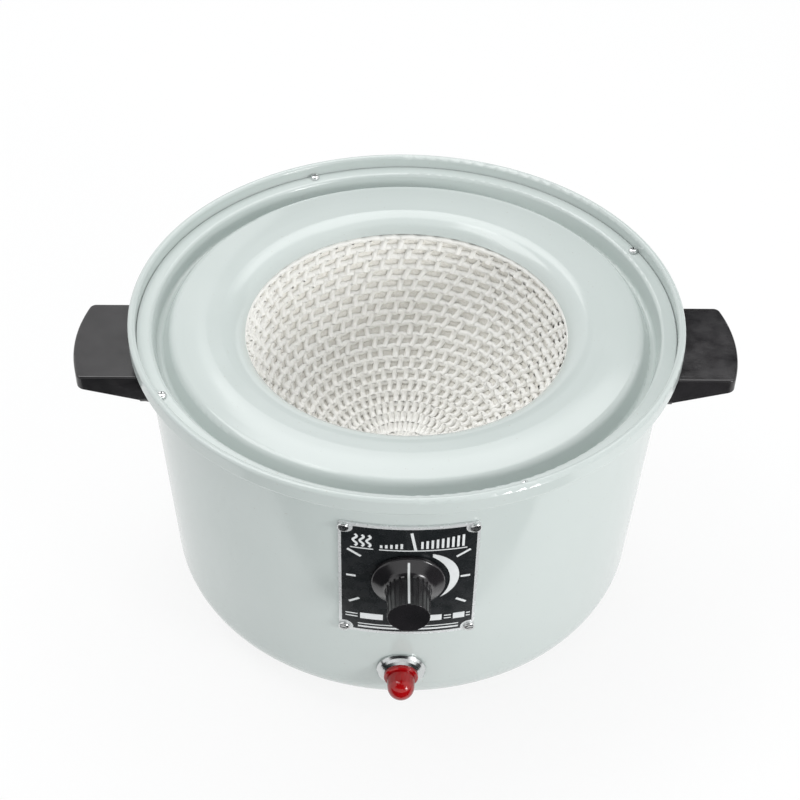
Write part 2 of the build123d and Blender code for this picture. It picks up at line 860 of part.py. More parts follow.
with BuildPart() as potentiometer:
    with Locations(dial_seat):
        with Locations((0, 0, pot_front - pot_depth)):
            Cylinder(pot_radius, pot_depth, align=BOTTOM_UP)
        with Locations((0, 0, pot_front)):
            Cylinder(bush_radius, bush_length, align=BOTTOM_UP)
        with Locations((0, 0, pot_front - shaft_depth - fit)):
            Cylinder(
                shaft_radius + running_fit,
                shaft_depth + bush_length + 2 * fit,
                align=BOTTOM_UP,
                mode=Mode.SUBTRACT,
            )
        with Locations((0, pot_tag_root - pot_radius, pot_front - pot_tag_back)):
            with GridLocations(pot_tag_pitch, 1.0, 3, 1):
                Box(
                    pot_tag_width,
                    pot_tag_length,
                    pot_tag_sheet,
                    align=(Align.CENTER, Align.MAX, Align.CENTER),
                )
keep(potentiometer, "potentiometer")

pot_washer_seat = touch + plate_sheet + touch
with BuildPart() as potentiometer_washer:
    add(ring(dial_seat, pot_washer_radius, bush_radius + touch, pot_washer_seat,
             pot_washer_seat + pot_washer_sheet))
keep(potentiometer_washer, "potentiometer_washer")

with BuildPart() as potentiometer_nut:
    with Locations(dial_seat.offset(pot_washer_seat + pot_washer_sheet + touch)):
        add(hex_nut(pot_nut_flats, pot_nut_height, bush_radius + touch))
keep(potentiometer_nut, "potentiometer_nut")

# ---------------------------------------------------------------- signal lamp
lens_tip_radius = lens_radius - 0.15
lens_stem_radius = 4.7
lens_stem = 8.0
lens_round = 0.5
lamp_bore = lens_stem_radius + fit
lamp_tag_pitch, lamp_tag_sheet, lamp_tag_width, lamp_tag_length = 5.0, 0.8, 2.8, 9.0
lamp_nut_flats, lamp_nut_height = 16.0, 3.0
bezel_recess = 1.2

with BuildPart() as lamp_bezel:
    add(turned(lamp_seat, [
        (lamp_bore, bezel_recess),
        (lamp_thread_radius + touch, bezel_recess),
        (lamp_thread_radius + touch, touch),
        (bezel_radius, touch),
        (bezel_radius, 0.7),
        (bezel_radius - 0.7, 1.7),
        (bezel_radius - 1.7, 2.6),
        (bezel_radius - 2.9, bezel_height),
        (lamp_bore, bezel_height),
    ]))
keep(lamp_bezel, "lamp_bezel")

lens_seat = lamp_seat.offset(bezel_height + touch)
with BuildPart() as lamp_lens:
    with BuildSketch(section_plane(lens_seat)):
        with BuildLine():
            Polyline(
                (0, -lens_stem),
                (lens_stem_radius, -lens_stem),
                (lens_stem_radius, 0),
                (lens_flange_radius, 0),
                (lens_flange_radius, lens_flange - lens_round),
                (lens_flange_radius - lens_round, lens_flange),
                (lens_radius, lens_flange),
                (lens_tip_radius, lens_length - lens_tip_radius),
            )
            ThreePointArc(
                (lens_tip_radius, lens_length - lens_tip_radius),
                (lens_tip_radius * sqrt(0.5), lens_length - lens_tip_radius * (1 - sqrt(0.5))),
                (0, lens_length),
            )
            Line((0, lens_length), (0, -lens_stem))
        make_face()
    revolve(axis=Axis(lens_seat.origin, lens_seat.z_dir))
keep(lamp_lens, "lamp_lens")

lamp_step = 14.0
lamp_tail_radius = 5.0
with BuildPart() as lamp_body:
    add(turned(lamp_seat, [
        (0, -lamp_depth),
        (lamp_tail_radius, -lamp_depth),
        (lamp_tail_radius, -lamp_step),
        (lamp_thread_radius, -lamp_step),
        (lamp_thread_radius, bezel_recess - touch),
        (lamp_bore, bezel_recess - touch),
        (lamp_bore, -lens_stem),
        (0, -lens_stem),
    ]))
    with Locations(lamp_seat):
        with Locations((0, 0, -lamp_depth)):
            with GridLocations(lamp_tag_pitch, 1.0, 2, 1):
                Box(lamp_tag_sheet, lamp_tag_width, lamp_tag_length, align=TOP_DOWN)
keep(lamp_body, "lamp_body")

lamp_nut_seat = shell_sheet + sagitta(lamp_nut_flats / sqrt(3), lamp_z) + touch
with BuildPart() as lamp_nut:
    with Locations(lamp_seat.offset(-lamp_nut_seat - lamp_nut_height)):
        add(hex_nut(lamp_nut_flats, lamp_nut_height, lamp_thread_radius + touch))
keep(lamp_nut, "lamp_nut")

# ---------------------------------------------------------------- feet
with BuildPart() as foot:
    Cone(foot_radius - foot_taper, foot_radius, foot_height, align=BOTTOM_UP)
    Cylinder(m4_head_radius + head_gap, foot_recess, align=BOTTOM_UP, mode=Mode.SUBTRACT)
    Cylinder(m4_radius + fit, foot_height, align=BOTTOM_UP, mode=Mode.SUBTRACT)
with BuildPart() as rubber_feet:
    with PolarLocations(foot_ring_radius, foot_count, 180 / foot_count):
        add(foot.part)
keep(rubber_feet, "rubber_feet")

foot_screw_length = foot_height - foot_recess + shell_sheet + m4_nut_height + thread_end
foot_screw = pan_screw(m4_head_radius, m4_head_height, m4_radius, foot_screw_length)
with BuildPart() as foot_screws:
    with Locations(Plane(origin=(0, 0, foot_recess - touch), x_dir=(1, 0, 0), z_dir=(0, 0, -1))):
        with PolarLocations(foot_ring_radius, foot_count, 180 / foot_count):
            add(foot_screw)
keep(foot_screws, "foot_screws")

with BuildPart() as foot_nuts:
    with Locations(Plane.XY.offset(shell_floor + touch)):
        with PolarLocations(foot_ring_radius, foot_count, 180 / foot_count):
            add(m4_nut)
keep(foot_nuts, "foot_nuts")

# ---------------------------------------------------------------- circuit board
board_low = shell_floor + standoff_height
board_top = board_low + board_sheet
with BuildPart() as circuit_board:
    with BuildSketch(Plane.XY.offset(board_low)):
        with Locations((0, board_centre_y)):
            RectangleRounded(board_length, board_width, board_corner)
            with GridLocations(board_holes_x, board_holes_y, 2, 2):
                Circle(m3_radius + fit, mode=Mode.SUBTRACT)
    extrude(amount=board_sheet)
keep(circuit_board, "circuit_board")

with BuildPart() as board_standoffs:
    with Locations((0, board_centre_y, shell_floor + touch)):
        with GridLocations(board_holes_x, board_holes_y, 2, 2):
            add(hex_nut(standoff_flats, standoff_height - 2 * touch, m3_radius + touch))
keep(board_standoffs, "board_standoffs")

board_screw = pan_screw(m3_head_radius, m3_head_height, m3_radius, board_sheet + standoff_thread)
with BuildPart() as board_screws:
    with Locations((0, board_centre_y, board_top + touch)):
        with GridLocations(board_holes_x, board_holes_y, 2, 2):
            add(board_screw)
keep(board_screws, "board_screws")

standoff_screw = pan_screw(
    m3_head_radius, m3_head_height, m3_radius, shell_sheet + standoff_thread
)
with BuildPart() as standoff_screws:
    with Locations(Plane(origin=(0, 0, shell_bottom - touch), x_dir=(1, 0, 0), z_dir=(0, 0, -1))):
        with Locations((0, -board_centre_y)):
            with GridLocations(board_holes_x, board_holes_y, 2, 2):
                add(standoff_screw)
keep(standoff_screws, "standoff_screws")

sink_x, sink_y = 28.0 - board_length / 2, board_centre_y + board_width / 2 - 9.0
sink_length, sink_base, sink_height = 26.0, 2.0, 16.0
fin_count, fin_sheet, fin_reach = 6, 1.2, 7.0
with BuildPart() as heat_sink:
    with Locations((sink_x, sink_y, board_top + touch)):
        Box(sink_length, sink_base, sink_height, align=BOTTOM_UP)
        with Locations((0, -(sink_base + fin_reach) / 2 + touch)):
            with GridLocations((sink_length - fin_sheet) / (fin_count - 1), 1, fin_count, 1):
                Box(fin_sheet, fin_reach, sink_height, align=BOTTOM_UP)
keep(heat_sink, "heat_sink")

triac_width, triac_tab, triac_sheet = 10.0, 15.5, 1.3
triac_body_height, triac_body_sheet = 9.0, 3.2
triac_hole_height, triac_hole_radius = 12.5, 1.7
with BuildPart() as triac:
    with Locations((sink_x, sink_y + sink_base / 2 + touch, board_top + touch)):
        with Locations((0, triac_sheet / 2, 0)):
            Box(triac_width, triac_sheet, triac_tab, align=BOTTOM_UP)
        with Locations((0, triac_sheet + triac_body_sheet / 2, 0)):
            Box(triac_width, triac_body_sheet, triac_body_height, align=BOTTOM_UP)
    with Locations(
        Plane(
            origin=(sink_x, sink_y + sink_base / 2, board_top + triac_hole_height),
            x_dir=(1, 0, 0),
            z_dir=(0, 1, 0),
        )
    ):
        Cylinder(triac_hole_radius, 4 * triac_sheet, mode=Mode.SUBTRACT)
keep(triac, "triac")

capacitor_x, capacitor_y = board_length / 2 - 14.0, board_centre_y + 10.0
capacitor_length, capacitor_width, capacitor_height, capacitor_corner = 18.0, 7.0, 12.0, 1.0
with BuildPart() as capacitor:
    with Locations((capacitor_x, capacitor_y, board_top + touch)):
        Box(capacitor_length, capacitor_width, capacitor_height, align=BOTTOM_UP)
        fillet(capacitor.edges().filter_by(Axis.Z), capacitor_corner)
keep(capacitor, "capacitor")

choke_x, choke_y = board_length / 2 - 16.0, board_centre_y - 10.0
choke_outer, choke_inner, choke_height, choke_round = 9.0, 4.0, 8.0, 1.6
with BuildPart() as choke:
    with Locations((choke_x, choke_y, board_top + touch)):
        Cylinder(choke_outer, choke_height, align=BOTTOM_UP)
        Cylinder(choke_inner, choke_height, align=BOTTOM_UP, mode=Mode.SUBTRACT)
    fillet(choke.edges().filter_by(GeomType.CIRCLE), choke_round)
keep(choke, "choke")

resistor_x = 30.0 - board_length / 2
resistor_length, resistor_radius = 9.0, 1.8
resistor_lead_length, resistor_lead_radius = 3.0, 0.4
with BuildPart() as resistors:
    for y in (board_centre_y + 2.0, board_centre_y - 4.0):
        with Locations(
            Plane(
                origin=(resistor_x, y, board_top + resistor_radius + touch),
                x_dir=(0, 1, 0),
                z_dir=(1, 0, 0),
            )
        ):
            Cylinder(resistor_radius, resistor_length)
            Cylinder(resistor_lead_radius, resistor_length + 2 * resistor_lead_length)
keep(resistors, "resistors")

term_x, term_y = 26.0 - board_length / 2, board_centre_y + 9.0 - board_width / 2
term_pitch, term_ways, term_width, term_height = 5.0, 4, 8.0, 10.0
term_hole_radius, term_hole_depth = 1.8, 3.0
with BuildPart() as board_terminals:
    with Locations((term_x, term_y, board_top + touch)):
        Box(term_pitch * term_ways, term_width, term_height, align=BOTTOM_UP)
        with Locations((0, 0, term_height)):
            with GridLocations(term_pitch, 1, term_ways, 1):
                Cylinder(term_hole_radius, term_hole_depth, align=TOP_DOWN, mode=Mode.SUBTRACT)
keep(board_terminals, "board_terminals")

# ---------------------------------------------------------------- mains terminals and earth
block_well_x, block_well_y, block_well_radius, block_well_depth = 8.0, 10.0, 2.2, 4.0
with BuildPart() as terminal_block:
    with Locations((block_x, block_y, shell_floor + touch)):
        Box(block_width, block_length, block_height, align=BOTTOM_UP)
        with GridLocations(1, block_hole_spacing, 1, 2):
            Cylinder(
                m3_radius + fit, block_height, align=BOTTOM_UP, mode=Mode.SUBTRACT
            )
        with Locations((0, 0, block_height)):
            with GridLocations(block_well_x, block_well_y, 2, 2):
                Cylinder(block_well_radius, block_well_depth, align=TOP_DOWN, mode=Mode.SUBTRACT)
keep(terminal_block, "terminal_block")

block_screw = pan_screw(
    m3_head_radius, m3_head_height, m3_radius, block_height + shell_sheet + thread_end
)
with BuildPart() as block_screws:
    with Locations((block_x, block_y, shell_floor + block_height + 2 * touch)):
        with GridLocations(1, block_hole_spacing, 1, 2):
            add(block_screw)
keep(block_screws, "block_screws")

earth_screw_length = m4_nut_height + shell_sheet + thread_end
with BuildPart() as earth_screw:
    with Locations((earth_x, earth_y, shell_floor + 3 * touch + m4_nut_height)):
        add(pan_screw(m4_head_radius, m4_head_height, m4_radius, earth_screw_length))
keep(earth_screw, "earth_screw")

with BuildPart() as earth_nut:
    with Locations((earth_x, earth_y, shell_floor + touch)):
        add(m4_nut)
keep(earth_nut, "earth_nut")

# ---------------------------------------------------------------- cable entry
gland_flats, gland_hex = 19.0, 4.5
gland_collet_radius, gland_collet = 6.6, 13.5
seal_radius, seal_length, seal_rise = 5.6, 8.0, 1.5
cap_gap = 0.6
cap_slope = 1.6
cap_shoulder = 3.6

with BuildPart() as gland_body:
    add(ring(gland_seat, gland_thread_radius, gland_bore, -gland_depth, touch))
    with Locations(gland_seat.offset(touch)):
        add(hex_nut(gland_flats, gland_hex, gland_bore))
    add(ring(gland_seat, gland_collet_radius, gland_bore, gland_hex, gland_collet - seal_length))
    add(ring(gland_seat, gland_collet_radius, seal_radius + touch,
             gland_collet - seal_length, gland_collet))
keep(gland_body, "gland_body")

with BuildPart() as gland_seal:
    add(ring(gland_seat, seal_radius, gland_bore, gland_collet - seal_length + touch,
             gland_collet + seal_rise))
keep(gland_seal, "gland_seal")

cap_low = gland_hex + cap_gap
with BuildPart() as gland_cap:
    add(turned(gland_seat, [
        (gland_collet_radius + touch, cap_low),
        (gland_flats / 2, cap_low),
        (gland_flats / 2, gland_collet),
        (gland_flats / 2 - cap_slope, gland_collet + cap_shoulder),
        (gland_bore + cap_slope, gland_reach),
        (gland_bore, gland_reach),
        (gland_bore, gland_collet + seal_rise + touch),
        (gland_collet_radius + touch, gland_collet + seal_rise + touch),
    ]))
keep(gland_cap, "gland_cap")

lock_flats = 20.0
lock_seat = shell_sheet + sagitta(lock_flats / sqrt(3), gland_z) + touch
with BuildPart() as gland_locknut:
    with Locations(gland_seat.offset(-lock_seat - lock_height)):
        add(hex_nut(lock_flats, lock_height, gland_thread_radius + touch))
keep(gland_locknut, "gland_locknut")

# ---------------------------------------------------------------- internal leads
wire_radius = 1.0
wire_gap = 0.6
lead_height = 4.0
term_z = board_top + lead_height
term_front = term_y - term_width / 2 - touch
term_way = [term_x + (way - (term_ways - 1) / 2) * term_pitch for way in range(term_ways)]
block_z = shell_floor + block_height / 2
block_left = block_x - block_width / 2 - touch
block_front = block_y - block_length / 2 - touch
block_way_y = block_y - block_well_y / 2
lead_top = lead_rise - soft_gap
lead_bend = 0.42 * (bush_low - term_z)

# The heater's two leads drop out of the bushes, one to the board and one to the block.
with BuildPart() as heater_leads:
    add(
        lead(
            [
                (-lead_spacing / 2, 0, lead_top),
                (-lead_spacing / 2, 0, term_z),
                (term_way[2], term_front, term_z),
            ],
            [lead_bend],
            lead_radius,
        )
    )
    add(
        lead(
            [
                (lead_spacing / 2, 0, lead_top),
                (lead_spacing / 2, 0, term_z + lead_height),
                (block_left - 20.0, 4.0, term_z),
                (block_left - 8.0, block_way_y, block_z),
                (block_left, block_way_y, block_z),
            ],
            [lead_bend, 1.5 * lead_bend, lead_bend / 2],
            lead_radius,
        )
    )
keep(heater_leads, "heater_leads")

# The control's leads pass beside the lamp's nut on their way down to the board.
with BuildPart() as control_leads:
    side_step = lamp_nut_flats / sqrt(3) + 2.5
    tag_end_y = pot_tag_root - pot_radius - pot_tag_length - wire_gap
    for tag, way in ((-1, 0), (0, 1)):
        tag_end = dial_seat.from_local_coords(
            (tag * pot_tag_pitch, tag_end_y, pot_front - pot_tag_back)
        )
        add(
            lead(
                [
                    tuple(tag_end),
                    (tag_end.X - side_step, tag_end.Y + 8.0, lamp_z + 14.2),
                    (tag_end.X - side_step - wire_radius, tag_end.Y + 40.0, term_z + 3.2),
                    (term_way[way], term_front - 12.0, term_z),
                    (term_way[way], term_front, term_z),
                ],
                [12.0, 20.0, 8.0],
                wire_radius,
            )
        )
keep(control_leads, "control_leads")

# The lamp's leads run along the floor to the block.
with BuildPart() as lamp_leads:
    for side in (-1, 1):
        tail = lamp_seat.from_local_coords(
            (side * lamp_tag_pitch / 2, 0, -lamp_depth - lamp_tag_length - touch)
        )
        end_x = block_x + side * block_well_x / 2
        add(
            lead(
                [
                    tuple(tail),
                    (tail.X, tail.Y + 14.0, tail.Z),
                    (block_x / 2 + side * 5.0, block_front - 35.0, block_z),
                    (end_x, block_front - 19.0, block_z),
                    (end_x, block_front, block_z),
                ],
                [9.0, 12.0, 9.0],
                wire_radius,
            )
        )
keep(lamp_leads, "lamp_leads")
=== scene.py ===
import json
from math import atan, cos, pi, radians, sin, sqrt, tau

import bpy
import numpy as np
from mathutils import Matrix, Vector


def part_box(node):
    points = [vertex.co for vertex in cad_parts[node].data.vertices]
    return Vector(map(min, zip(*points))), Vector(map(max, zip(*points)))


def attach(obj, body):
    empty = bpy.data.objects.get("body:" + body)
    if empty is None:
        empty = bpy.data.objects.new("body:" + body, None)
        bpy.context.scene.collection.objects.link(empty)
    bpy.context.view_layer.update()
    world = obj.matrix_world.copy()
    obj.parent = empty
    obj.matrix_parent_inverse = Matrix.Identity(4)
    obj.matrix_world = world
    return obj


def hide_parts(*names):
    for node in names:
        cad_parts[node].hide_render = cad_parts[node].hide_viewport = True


# Looks of a laboratory heating mantle: an enamelled pot with a gutter cover, a knitted
# glass-fibre well, bakelite ears, a black dial plate with its knob and a red signal lamp.
# Metres, +Z up, the dial faces -Y. Lengths that are easier to read in millimetres are
# written as so many times MM.

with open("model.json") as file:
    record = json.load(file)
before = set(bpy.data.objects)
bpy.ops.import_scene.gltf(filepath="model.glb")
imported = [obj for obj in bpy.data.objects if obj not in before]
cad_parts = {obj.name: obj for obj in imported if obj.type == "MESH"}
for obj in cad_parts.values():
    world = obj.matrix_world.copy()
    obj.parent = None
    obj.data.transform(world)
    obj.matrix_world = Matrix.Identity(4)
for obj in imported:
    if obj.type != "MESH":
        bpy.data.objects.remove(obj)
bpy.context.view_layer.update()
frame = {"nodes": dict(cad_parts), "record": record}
nodes = frame["nodes"]
MM = 0.001
IMAGE = 800.0

# Places of the colour sockets on a Mix node: factor, first and second colour, and the result.
MIX_COLOUR_INPUTS = 0, 6, 7
MIX_COLOUR_OUTPUT = 2

# ---------------------------------------------------------------- shader helpers


def new_material(name):
    """Empty node material and its Principled shader."""
    made = bpy.data.materials.new(name)
    made.use_nodes = True
    return made, made.node_tree, made.node_tree.nodes["Principled BSDF"]


def node(tree, kind, inputs=None, **settings):
    """Shader node with its settings and its unlinked or linked inputs."""
    made = tree.nodes.new(kind)
    for key, value in settings.items():
        setattr(made, key, value)
    for key, value in (inputs or {}).items():
        if isinstance(value, bpy.types.NodeSocket):
            tree.links.new(value, made.inputs[key])
        else:
            made.inputs[key].default_value = value
    return made


def feed(tree, socket, value):
    """Link an output to a socket, or write a number, a vector or a colour (a tuple) into it."""
    if isinstance(value, bpy.types.NodeSocket):
        tree.links.new(value, socket)
    else:
        socket.default_value = (*value, 1.0) if isinstance(value, tuple) else value


def maths(tree, operation, *values):
    """Output of a Math node."""
    return node(tree, "ShaderNodeMath", dict(enumerate(values)), operation=operation).outputs[0]


def noise(tree, scale, detail=3.0, roughness=0.55):
    """Noise in object space: scale is in features per metre."""
    place = node(tree, "ShaderNodeTexCoord").outputs["Object"]
    inputs = {"Vector": place, "Scale": scale, "Detail": detail, "Roughness": roughness}
    return node(tree, "ShaderNodeTexNoise", inputs).outputs["Fac"]


def remap(tree, value, low, high, from_low=0.3, from_high=0.7):
    """Value brought from one range to another and kept inside it."""
    inputs = {
        "Value": value,
        "From Min": from_low,
        "From Max": from_high,
        "To Min": low,
        "To Max": high,
    }
    return node(tree, "ShaderNodeMapRange", inputs).outputs["Result"]


def blend_colour(tree, factor, first, second):
    """Colour between two colours."""
    made = node(tree, "ShaderNodeMix", data_type="RGBA")
    for place, value in zip(MIX_COLOUR_INPUTS, (factor, first, second)):
        feed(tree, made.inputs[place], value)
    return made.outputs[MIX_COLOUR_OUTPUT]


def bump(tree, height, strength, distance):
    """Normal from a height; distance is the relief in metres."""
    inputs = {"Height": height, "Strength": strength, "Distance": distance}
    return node(tree, "ShaderNodeBump", inputs).outputs["Normal"]


def set_inputs(tree, shader, **values):
    """Inputs of the Principled shader by name, with _ for a space."""
    for key, value in values.items():
        feed(tree, shader.inputs[key.replace("_", " ")], value)


# ---------------------------------------------------------------- materials


def enamel():
    """Gloss enamel, very pale grey-green, with a faint orange peel and rare specks."""
    made, tree, shader = new_material("enamel")
    clouds = remap(tree, noise(tree, 14, 2), 0, 1)
    colour = blend_colour(tree, clouds, (0.545, 0.600, 0.580), (0.570, 0.620, 0.602))
    specks = remap(tree, noise(tree, 900, 1), 0, 1, 0.74, 0.80)
    colour = blend_colour(tree, specks, colour, (0.50, 0.52, 0.49))
    peel = noise(tree, 260, 1)
    set_inputs(
        tree,
        shader,
        Base_Color=colour,
        Roughness=remap(tree, noise(tree, 35, 2), 0.11, 0.19),
        IOR=1.52,
        Normal=bump(tree, peel, 0.25, 0.05 * MM),
    )
    return made


def glass_cord():
    """Twisted glass-fibre yarn, cream-white, with its fine strands."""
    made, tree, shader = new_material("glass_cord")
    strands = noise(tree, 1400, 2, 0.6)
    patches = remap(tree, noise(tree, 30, 3), 0, 1)
    colour = blend_colour(tree, patches, (0.96, 0.955, 0.925), (0.935, 0.925, 0.885))
    colour = blend_colour(tree, remap(tree, strands, 0, 0.35), colour, (0.97, 0.965, 0.94))
    set_inputs(
        tree,
        shader,
        Base_Color=colour,
        Roughness=remap(tree, strands, 0.45, 0.7),
        Sheen_Weight=0.25,
        Normal=bump(tree, strands, 0.8, 0.25 * MM),
    )
    return made


def glass_cloth():
    """Knitted cloth in the pockets between the cords."""
    made, tree, shader = new_material("glass_cloth")
    threads = noise(tree, 900, 3, 0.6)
    colour = blend_colour(tree, remap(tree, threads, 0, 1), (0.80, 0.78, 0.72), (0.93, 0.915, 0.875))
    set_inputs(
        tree,
        shader,
        Base_Color=colour,
        Roughness=0.75,
        Sheen_Weight=0.2,
        Normal=bump(tree, threads, 1.0, 0.4 * MM),
    )
    return made


def bakelite():
    """Gloss black moulding with faint flow clouds and rubbed patches."""
    made, tree, shader = new_material("bakelite")
    clouds = remap(tree, noise(tree, 45, 4, 0.6), 0, 1)
    set_inputs(
        tree,
        shader,
        Base_Color=blend_colour(tree, clouds, (0.008, 0.008, 0.009), (0.018, 0.016, 0.018)),
        Roughness=remap(tree, noise(tree, 120, 4), 0.13, 0.26),
        IOR=1.58,
        Normal=bump(tree, noise(tree, 420, 2), 0.25, 0.05 * MM),
    )
    return made


def metal(name, colour, rough_low, rough_high, scale=500, relief=0.02):
    """Bare or plated metal with a fine tool or plating texture; relief is in millimetres."""
    made, tree, shader = new_material(name)
    grain = noise(tree, scale, 4, 0.65)
    dull = tuple(0.8 * c for c in colour)
    set_inputs(
        tree,
        shader,
        Base_Color=blend_colour(tree, remap(tree, noise(tree, 160, 3), 0, 0.6), colour, dull),
        Metallic=1.0,
        Roughness=remap(tree, grain, rough_low, rough_high),
        Normal=bump(tree, grain, 0.3, relief * MM),
    )
    return made


def plastic(name, colour, second, roughness, scale=220, relief=0.04):
    """Moulded plastic or rubber with a soft mottle; relief is in millimetres."""
    made, tree, shader = new_material(name)
    mottle = noise(tree, scale, 3)
    set_inputs(
        tree,
        shader,
        Base_Color=blend_colour(tree, remap(tree, mottle, 0, 1), colour, second),
        Roughness=remap(tree, mottle, roughness, roughness * 1.35),
        Normal=bump(tree, mottle, 0.3, relief * MM),
    )
    return made


def lens_red():
    """Clear red plastic over a pale diffuser, with painted light in its colour: a painted glow at the
    tip that faces the eye and deeper red painted shade towards the edges.
    """
    made, tree, shader = new_material("lens_red")
    # Colour follows the viewing angle: painted glow where the lens faces the eye, painted shade at its
    # edges.
    painted_tip_glow_edge_shade = node(tree, "ShaderNodeLayerWeight", {"Blend": 0.35}).outputs["Facing"]
    colour = blend_colour(tree, painted_tip_glow_edge_shade, (0.42, 0.003, 0.005), (0.12, 0.001, 0.002))
    set_inputs(
        tree,
        shader,
        Base_Color=colour,
        Roughness=remap(tree, noise(tree, 300, 2), 0.05, 0.12),
        IOR=1.50,
        Subsurface_Weight=0.25,
        Subsurface_Radius=Vector((0.004, 0.0004, 0.0004)),
        Coat_Weight=0.2,
        Coat_Roughness=0.04,
    )
    return made


PLATE_LOW, PLATE_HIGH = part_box("dial_plate")
PRINT_BORDER = 1.15 * MM
PRINT_TOP_BORDER = 1.5 * MM
SCREW_PATCH = 3.3 * MM
SCREW_INSET = 2.3 * MM


def plate_black():
    """Aluminium plate with gloss black print: a bare border, and a bare patch at each screw."""
    made, tree, shader = new_material("plate_black")
    place = node(tree, "ShaderNodeTexCoord").outputs["Object"]
    axes = node(tree, "ShaderNodeSeparateXYZ", {0: place}).outputs
    half_width = (PLATE_HIGH.x - PLATE_LOW.x) / 2
    half_height = (PLATE_HIGH.z - PLATE_LOW.z) / 2
    middle = (PLATE_HIGH.z + PLATE_LOW.z) / 2
    across = maths(tree, "ABSOLUTE", axes["X"])
    along = maths(tree, "ABSOLUTE", maths(tree, "SUBTRACT", axes["Z"], middle))
    place = node(tree, "ShaderNodeCombineXYZ", {0: across, 2: along}).outputs[0]
    screw = (half_width - SCREW_INSET, 0, half_height - SCREW_INSET)
    gap = node(tree, "ShaderNodeVectorMath", {0: place, 1: screw}, operation="DISTANCE")
    inside_width = maths(tree, "LESS_THAN", across, half_width - PRINT_BORDER)
    inside_height = maths(tree, "LESS_THAN", along, half_height - PRINT_TOP_BORDER)
    clear_of_screw = maths(tree, "GREATER_THAN", gap.outputs["Value"], SCREW_PATCH)
    inside = maths(tree, "MULTIPLY", inside_width, inside_height)
    inked = maths(tree, "MULTIPLY", inside, clear_of_screw)
    mottle = noise(tree, 220, 3)
    ink = blend_colour(tree, remap(tree, mottle, 0, 1), (0.010, 0.0125, 0.0135), (0.016, 0.018, 0.020))
    set_inputs(
        tree,
        shader,
        Base_Color=blend_colour(tree, inked, (0.80, 0.82, 0.82), ink),
        Metallic=remap(tree, inked, 0.35, 0.0, 0.0, 1.0),
        Roughness=remap(tree, mottle, 0.22, 0.32),
        Normal=bump(tree, mottle, 0.3, 0.03 * MM),
    )
    return made


MATERIALS = {
    "enamel": enamel(),
    "glass_cord": glass_cord(),
    "glass_wool": plastic("glass_wool", (0.72, 0.70, 0.60), (0.84, 0.82, 0.74), 0.8, 600, 0.4),
    "pan_metal": metal("pan_metal", (0.78, 0.79, 0.80), 0.25, 0.45),
    "zinc": metal("zinc", (0.80, 0.81, 0.81), 0.16, 0.34),
    "bakelite": bakelite(),
    "plate_black": plate_black(),
    "mark_white": plastic("mark_white", (0.78, 0.80, 0.80), (0.70, 0.72, 0.72), 0.4),
    "bright_chrome": metal("bright_chrome", (0.66, 0.68, 0.68), 0.14, 0.24, 300, 0.004),
    "lens_red": lens_red(),
    "foot_rubber": plastic("foot_rubber", (0.02, 0.02, 0.02), (0.035, 0.035, 0.034), 0.7),
    "lamp_plastic": plastic("lamp_plastic", (0.75, 0.75, 0.72), (0.70, 0.70, 0.66), 0.4),
    "gland_plastic": plastic("gland_plastic", (0.02, 0.02, 0.022), (0.03, 0.03, 0.032), 0.35),
    "board_laminate": plastic("board_laminate", (0.30, 0.20, 0.08), (0.36, 0.25, 0.10), 0.5),
    "part_black": plastic("part_black", (0.03, 0.03, 0.03), (0.05, 0.05, 0.05), 0.4),
    "part_red": plastic("part_red", (0.45, 0.05, 0.03), (0.38, 0.04, 0.03), 0.25),
    "part_tan": plastic("part_tan", (0.65, 0.52, 0.34), (0.58, 0.46, 0.30), 0.5),
    "choke_winding": metal("choke_winding", (0.66, 0.34, 0.15), 0.2, 0.4, 900, 0.2),
    "sink_metal": metal("sink_metal", (0.70, 0.71, 0.72), 0.3, 0.5),
    "terminal_plastic": plastic("terminal_plastic", (0.10, 0.34, 0.20), (0.08, 0.3, 0.17), 0.4),
    "block_ceramic": plastic("block_ceramic", (0.86, 0.85, 0.80), (0.80, 0.79, 0.74), 0.45),
    "brass_nut": metal("brass_nut", (0.78, 0.60, 0.28), 0.2, 0.35),
    "sleeve": plastic("sleeve", (0.80, 0.78, 0.70), (0.70, 0.68, 0.60), 0.8, 1200, 0.2),
    "lead_red": plastic("lead_red", (0.50, 0.04, 0.03), (0.42, 0.03, 0.03), 0.4),
}


def dress(piece, made):
    """Give a piece one material."""
    piece.data.materials.clear()
    piece.data.materials.append(made)


for part in frame["record"]["subparts"]:
    dress(nodes[part["node"]], MATERIALS[part["material_slot"]])

# ---------------------------------------------------------------- mesh helpers
rng = np.random.default_rng(7)


def new_piece(name, points, faces, made, body="body", smooth=True):
    """Mesh piece that rides on a body."""
    mesh = bpy.data.meshes.new(name)
    mesh.from_pydata([tuple(p) for p in np.asarray(points, float)], [], [list(f) for f in faces])
    mesh.validate()
    if smooth:
        mesh.shade_smooth()
    piece = bpy.data.objects.new(name, mesh)
    bpy.context.scene.collection.objects.link(piece)
    mesh.materials.append(made)
    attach(piece, body)
    return piece


def grid_faces(rows, columns, closed=False):
    """Quads of a grid whose rows are rings, stored row by row. Closed joins the last to the first."""
    i = np.arange(rows if closed else rows - 1)[:, None]
    j = np.arange(columns)[None, :]
    i, j = np.broadcast_arrays(i, j)
    after_i, after_j = (i + 1) % rows, (j + 1) % columns
    quads = [i * columns + j, after_i * columns + j, after_i * columns + after_j, i * columns + after_j]
    return np.stack(quads, -1).reshape(-1, 4)


